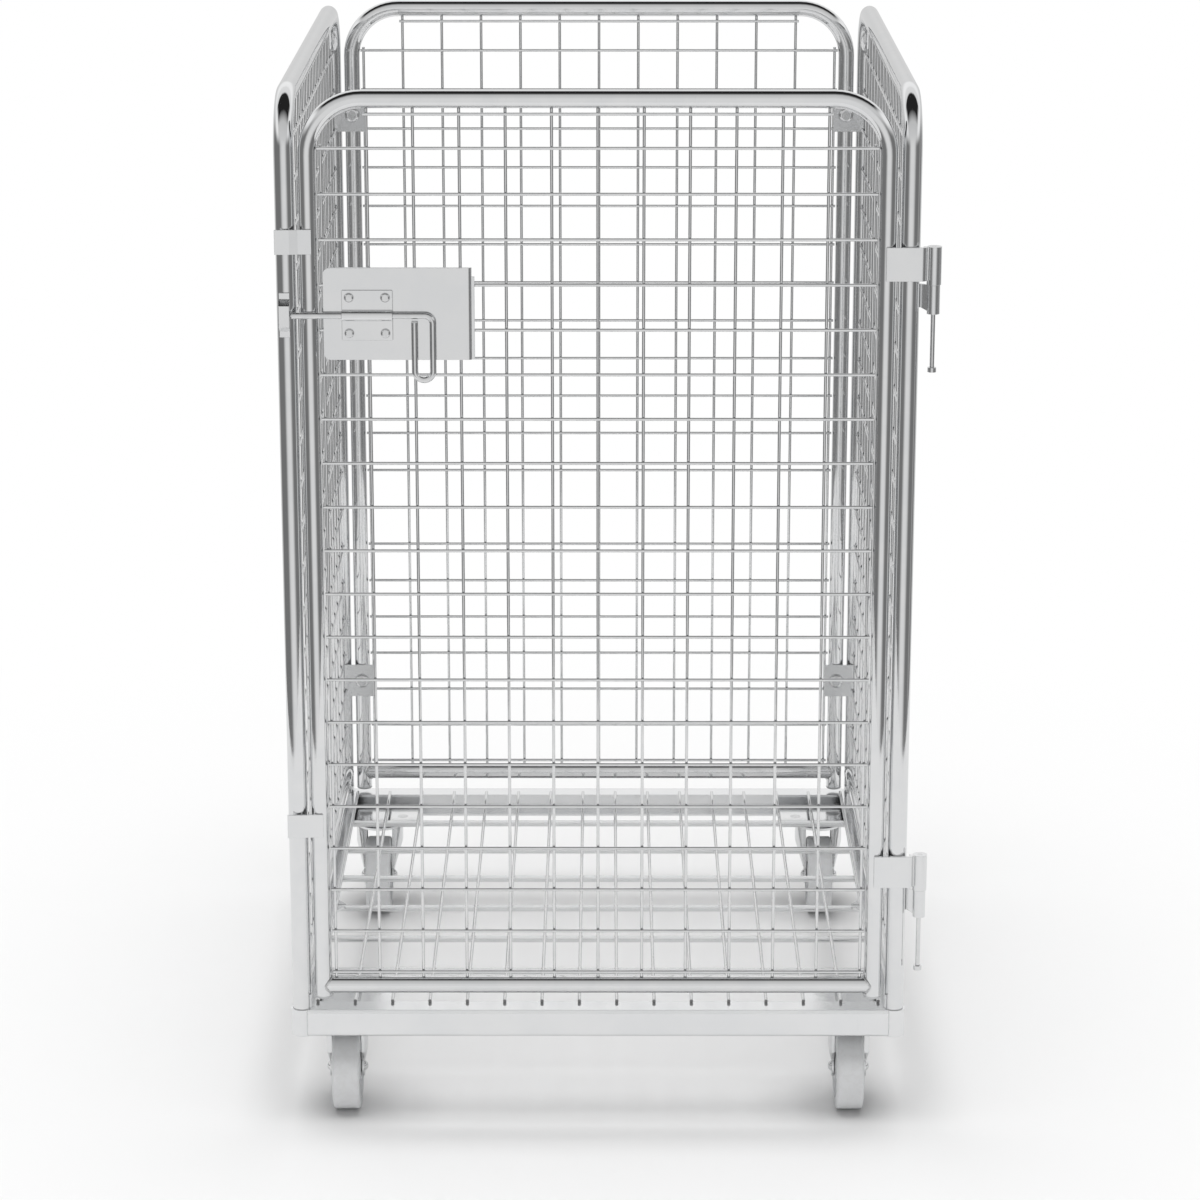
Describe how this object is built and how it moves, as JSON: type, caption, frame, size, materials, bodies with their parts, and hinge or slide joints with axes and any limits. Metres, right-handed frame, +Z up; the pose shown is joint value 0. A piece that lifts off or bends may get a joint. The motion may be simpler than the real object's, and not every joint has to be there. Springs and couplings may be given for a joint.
{
  "type": "roll cage container",
  "caption": "Wheeled wire-mesh roll cage with plug-in tubular sides, a bolted back, a hinged latching door and fixed and swivel casters.",
  "frame": {"origin": "middle of the footprint on the floor", "axes": "+X to the right seen from the door, +Y from the door towards the back, +Z up"},
  "size_m": [0.727, 0.8106, 1.2],
  "materials": {
    "base": "bright zinc-plated sheet steel",
    "tube": "bright zinc-plated steel tube",
    "wire": "bright zinc-plated steel wire",
    "plate": "bright zinc-plated pressed steel",
    "fastener": "zinc-plated steel",
    "wheel": "grey moulded nylon",
    "bush": "dark moulded nylon",
    "plug": "light grey moulded plastic"
  },
  "bodies": {
    "cage": {"front_rail": "base", "rear_rail": "base", "left_rail": "base", "right_rail": "base", "post_sockets": "base", "corner_plates": "base", "deck_crossbars": "tube", "deck_gussets": "base", "deck_wires": "wire", "left_side_frame": "tube", "left_side_rail": "tube", "left_side_mesh": "wire", "right_side_frame": "tube", "right_side_rail": "tube", "right_side_mesh": "wire", "back_frame": "tube", "back_rail": "tube", "back_mesh": "wire", "back_plugs": "plug", "bracket_plates": "plate", "bracket_bolts": "fastener", "bracket_nuts": "fastener", "upper_knuckle": "plate", "lower_knuckle": "plate", "keeper": "plate", "caster_bolts": "fastener", "caster_nuts": "fastener", "front_left_bracket": "plate", "front_left_axle": "fastener", "front_left_bush": "bush", "front_right_bracket": "plate", "front_right_axle": "fastener", "front_right_bush": "bush", "rear_left_swivel_plate": "plate", "rear_left_king_pin": "fastener", "rear_right_swivel_plate": "plate", "rear_right_king_pin": "fastener"},
    "door": {"door_frame": "tube", "door_rail": "tube", "door_mesh": "wire", "door_plugs": "plug", "upper_strap": "plate", "lower_strap": "plate", "hinge_pins": "fastener", "upper_clip": "plate", "lower_clip": "plate", "latch_plate": "plate", "bolt_guide": "plate", "guide_rivets": "fastener"},
    "bolt": {"latch_bolt": "fastener"},
    "front_left_roller": {"front_left_wheel": "wheel"},
    "front_right_roller": {"front_right_wheel": "wheel"},
    "rear_left_swivel": {"rear_left_fork": "plate", "rear_left_axle": "fastener", "rear_left_bush": "bush"},
    "rear_left_roller": {"rear_left_wheel": "wheel"},
    "rear_right_swivel": {"rear_right_fork": "plate", "rear_right_axle": "fastener", "rear_right_bush": "bush"},
    "rear_right_roller": {"rear_right_wheel": "wheel"}
  },
  "joints": [
    {"name": "door_swing", "type": "hinge", "parent": "cage", "child": "door", "pos_m": [0.366, -0.3925, 0.636], "axis": [0, 0, 1], "range_deg": [0, 265]},
    {"name": "bolt_slide", "type": "slide", "parent": "door", "child": "bolt", "axis": [1, 0, 0], "range_m": [-0.018, 0.03]},
    {"name": "front_left_roll", "type": "hinge", "parent": "cage", "child": "front_left_roller", "pos_m": [-0.29245, -0.34095, 0.05], "axis": [1, 0, 0], "continuous": true},
    {"name": "front_right_roll", "type": "hinge", "parent": "cage", "child": "front_right_roller", "pos_m": [0.29245, -0.34095, 0.05], "axis": [1, 0, 0], "continuous": true},
    {"name": "rear_left_turn", "type": "hinge", "parent": "cage", "child": "rear_left_swivel", "pos_m": [-0.29245, 0.34095, 0.1], "axis": [0, 0, 1], "continuous": true},
    {"name": "rear_left_roll", "type": "hinge", "parent": "rear_left_swivel", "child": "rear_left_roller", "pos_m": [-0.29245, 0.31495, 0.05], "axis": [1, 0, 0], "continuous": true},
    {"name": "rear_right_turn", "type": "hinge", "parent": "cage", "child": "rear_right_swivel", "pos_m": [0.29245, 0.34095, 0.1], "axis": [0, 0, 1], "continuous": true},
    {"name": "rear_right_roll", "type": "hinge", "parent": "rear_right_swivel", "child": "rear_right_roller", "pos_m": [0.29245, 0.31495, 0.05], "axis": [1, 0, 0], "continuous": true}
  ]
}
